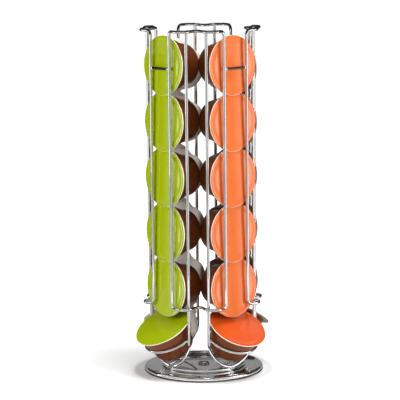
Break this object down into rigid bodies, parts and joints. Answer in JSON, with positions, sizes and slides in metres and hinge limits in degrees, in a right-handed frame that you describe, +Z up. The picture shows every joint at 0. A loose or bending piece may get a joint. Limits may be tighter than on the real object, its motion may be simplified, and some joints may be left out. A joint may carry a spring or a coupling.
{
  "type": "coffee capsule dispenser",
  "caption": "Turning rack of bent chromed wire on a round plate, whose columns hold flanged coffee capsules on edge above a tilted capsule in a cradle.",
  "frame": {"origin": "on the surface that the rubber pads rest on, at the turning axis", "axes": "+Z up along the turning axis, -Y towards the picture's camera, +X to its right"},
  "size_m": [0.1174, 0.1174, 0.3146],
  "materials": {
    "chromed_wire": "bright polished chrome plate",
    "chromed_plate": "mirror-bright chrome plate",
    "screw_steel": "zinc-plated, satin",
    "bare_steel": "plain pressed steel",
    "nylon": "natural slide plastic",
    "pad_rubber": "matt black",
    "brown_shell": "moulded, half-gloss chocolate brown",
    "beige_shell": "moulded, half-gloss pale beige",
    "lime_foil": "lacquered foil, lime green",
    "orange_foil": "lacquered foil, orange",
    "brown_foil": "lacquered foil, brown",
    "beige_foil": "lacquered foil, beige",
    "foil_rim": "pale sealed rim round each lid"
  },
  "bodies": {
    "foot": {"foot_plate": "bare_steel", "slide_ring": "nylon", "rubber_pad_1": "pad_rubber", "rubber_pad_2": "pad_rubber", "rubber_pad_3": "pad_rubber", "rubber_pad_4": "pad_rubber", "pivot_screw": "screw_steel", "pivot_washer": "bare_steel", "lock_nut": "bare_steel"},
    "carousel": {"base_plate": "chromed_plate", "base_ring": "chromed_wire", "retainer_loop_front": "chromed_wire", "retainer_loop_right": "chromed_wire", "retainer_loop_back": "chromed_wire", "retainer_loop_left": "chromed_wire", "guide_wire_front_left": "chromed_wire", "guide_wire_front_right": "chromed_wire", "guide_wire_back_right": "chromed_wire", "guide_wire_back_left": "chromed_wire", "cradle_hoop_front_left": "chromed_wire", "cradle_hoop_front_right": "chromed_wire", "cradle_hoop_back_right": "chromed_wire", "cradle_hoop_back_left": "chromed_wire", "cross_brace_front_left": "chromed_wire", "cross_brace_front_right": "chromed_wire", "cross_brace_back_right": "chromed_wire", "cross_brace_back_left": "chromed_wire"},
    "capsule_front_left_1": {"capsule_front_left_1": "brown_shell"},
    "capsule_front_left_2": {"capsule_front_left_2": "brown_shell"},
    "capsule_front_left_3": {"capsule_front_left_3": "brown_shell"},
    "capsule_front_left_4": {"capsule_front_left_4": "brown_shell"},
    "capsule_front_left_5": {"capsule_front_left_5": "brown_shell"},
    "capsule_front_left_cradled": {"capsule_front_left_cradled": "brown_shell"},
    "capsule_front_right_1": {"capsule_front_right_1": "brown_shell"},
    "capsule_front_right_2": {"capsule_front_right_2": "brown_shell"},
    "capsule_front_right_3": {"capsule_front_right_3": "brown_shell"},
    "capsule_front_right_4": {"capsule_front_right_4": "brown_shell"},
    "capsule_front_right_5": {"capsule_front_right_5": "brown_shell"},
    "capsule_front_right_cradled": {"capsule_front_right_cradled": "brown_shell"},
    "capsule_back_right_1": {"capsule_back_right_1": "brown_shell"},
    "capsule_back_right_2": {"capsule_back_right_2": "brown_shell"},
    "capsule_back_right_3": {"capsule_back_right_3": "brown_shell"},
    "capsule_back_right_4": {"capsule_back_right_4": "brown_shell"},
    "capsule_back_right_5": {"capsule_back_right_5": "brown_shell"},
    "capsule_back_right_cradled": {"capsule_back_right_cradled": "brown_shell"},
    "capsule_back_left_1": {"capsule_back_left_1": "beige_shell"},
    "capsule_back_left_2": {"capsule_back_left_2": "beige_shell"},
    "capsule_back_left_3": {"capsule_back_left_3": "beige_shell"},
    "capsule_back_left_4": {"capsule_back_left_4": "beige_shell"},
    "capsule_back_left_5": {"capsule_back_left_5": "beige_shell"},
    "capsule_back_left_cradled": {"capsule_back_left_cradled": "beige_shell"}
  },
  "joints": [
    {"name": "carousel_turn", "type": "hinge", "parent": "foot", "child": "carousel", "pos_m": [0, 0, 0], "axis": [0, 0, 1], "continuous": true},
    {"name": "capsule_front_left_1_lift", "type": "slide", "parent": "carousel", "child": "capsule_front_left_1", "axis": [0, 0, 1], "range_m": [0, 0.012]},
    {"name": "capsule_front_left_2_lift", "type": "slide", "parent": "capsule_front_left_1", "child": "capsule_front_left_2", "axis": [0, 0, 1], "range_m": [0, 0.025]},
    {"name": "capsule_front_left_3_lift", "type": "slide", "parent": "capsule_front_left_2", "child": "capsule_front_left_3", "axis": [0, 0, 1], "range_m": [0, 0.025]},
    {"name": "capsule_front_left_4_lift", "type": "slide", "parent": "capsule_front_left_3", "child": "capsule_front_left_4", "axis": [0, 0, 1], "range_m": [0, 0.025]},
    {"name": "capsule_front_left_5_lift", "type": "slide", "parent": "capsule_front_left_4", "child": "capsule_front_left_5", "axis": [0, 0, 1], "range_m": [0, 0.06]},
    {"name": "capsule_front_left_cradled_draw", "type": "slide", "parent": "carousel", "child": "capsule_front_left_cradled", "axis": [-0.3747, -0.3747, 0.848], "range_m": [0, 0.0114]},
    {"name": "capsule_front_right_1_lift", "type": "slide", "parent": "carousel", "child": "capsule_front_right_1", "axis": [0, 0, 1], "range_m": [0, 0.012]},
    {"name": "capsule_front_right_2_lift", "type": "slide", "parent": "capsule_front_right_1", "child": "capsule_front_right_2", "axis": [0, 0, 1], "range_m": [0, 0.025]},
    {"name": "capsule_front_right_3_lift", "type": "slide", "parent": "capsule_front_right_2", "child": "capsule_front_right_3", "axis": [0, 0, 1], "range_m": [0, 0.025]},
    {"name": "capsule_front_right_4_lift", "type": "slide", "parent": "capsule_front_right_3", "child": "capsule_front_right_4", "axis": [0, 0, 1], "range_m": [0, 0.025]},
    {"name": "capsule_front_right_5_lift", "type": "slide", "parent": "capsule_front_right_4", "child": "capsule_front_right_5", "axis": [0, 0, 1], "range_m": [0, 0.06]},
    {"name": "capsule_front_right_cradled_draw", "type": "slide", "parent": "carousel", "child": "capsule_front_right_cradled", "axis": [0.3747, -0.3747, 0.848], "range_m": [0, 0.0114]},
    {"name": "capsule_back_right_1_lift", "type": "slide", "parent": "carousel", "child": "capsule_back_right_1", "axis": [0, 0, 1], "range_m": [0, 0.012]},
    {"name": "capsule_back_right_2_lift", "type": "slide", "parent": "capsule_back_right_1", "child": "capsule_back_right_2", "axis": [0, 0, 1], "range_m": [0, 0.025]},
    {"name": "capsule_back_right_3_lift", "type": "slide", "parent": "capsule_back_right_2", "child": "capsule_back_right_3", "axis": [0, 0, 1], "range_m": [0, 0.025]},
    {"name": "capsule_back_right_4_lift", "type": "slide", "parent": "capsule_back_right_3", "child": "capsule_back_right_4", "axis": [0, 0, 1], "range_m": [0, 0.025]},
    {"name": "capsule_back_right_5_lift", "type": "slide", "parent": "capsule_back_right_4", "child": "capsule_back_right_5", "axis": [0, 0, 1], "range_m": [0, 0.066]},
    {"name": "capsule_back_right_cradled_draw", "type": "slide", "parent": "carousel", "child": "capsule_back_right_cradled", "axis": [0.3747, 0.3747, 0.848], "range_m": [0, 0.0114]},
    {"name": "capsule_back_left_1_lift", "type": "slide", "parent": "carousel", "child": "capsule_back_left_1", "axis": [0, 0, 1], "range_m": [0, 0.012]},
    {"name": "capsule_back_left_2_lift", "type": "slide", "parent": "capsule_back_left_1", "child": "capsule_back_left_2", "axis": [0, 0, 1], "range_m": [0, 0.025]},
    {"name": "capsule_back_left_3_lift", "type": "slide", "parent": "capsule_back_left_2", "child": "capsule_back_left_3", "axis": [0, 0, 1], "range_m": [0, 0.025]},
    {"name": "capsule_back_left_4_lift", "type": "slide", "parent": "capsule_back_left_3", "child": "capsule_back_left_4", "axis": [0, 0, 1], "range_m": [0, 0.025]},
    {"name": "capsule_back_left_5_lift", "type": "slide", "parent": "capsule_back_left_4", "child": "capsule_back_left_5", "axis": [0, 0, 1], "range_m": [0, 0.066]},
    {"name": "capsule_back_left_cradled_draw", "type": "slide", "parent": "carousel", "child": "capsule_back_left_cradled", "axis": [-0.3747, 0.3747, 0.848], "range_m": [0, 0.0114]}
  ],
  "couplings": [
    {"joint": "capsule_front_left_cradled_draw", "follows": "capsule_front_left_1_lift", "ratio": 0.95},
    {"joint": "capsule_front_right_cradled_draw", "follows": "capsule_front_right_1_lift", "ratio": 0.95},
    {"joint": "capsule_back_right_cradled_draw", "follows": "capsule_back_right_1_lift", "ratio": 0.95},
    {"joint": "capsule_back_left_cradled_draw", "follows": "capsule_back_left_1_lift", "ratio": 0.95}
  ]
}
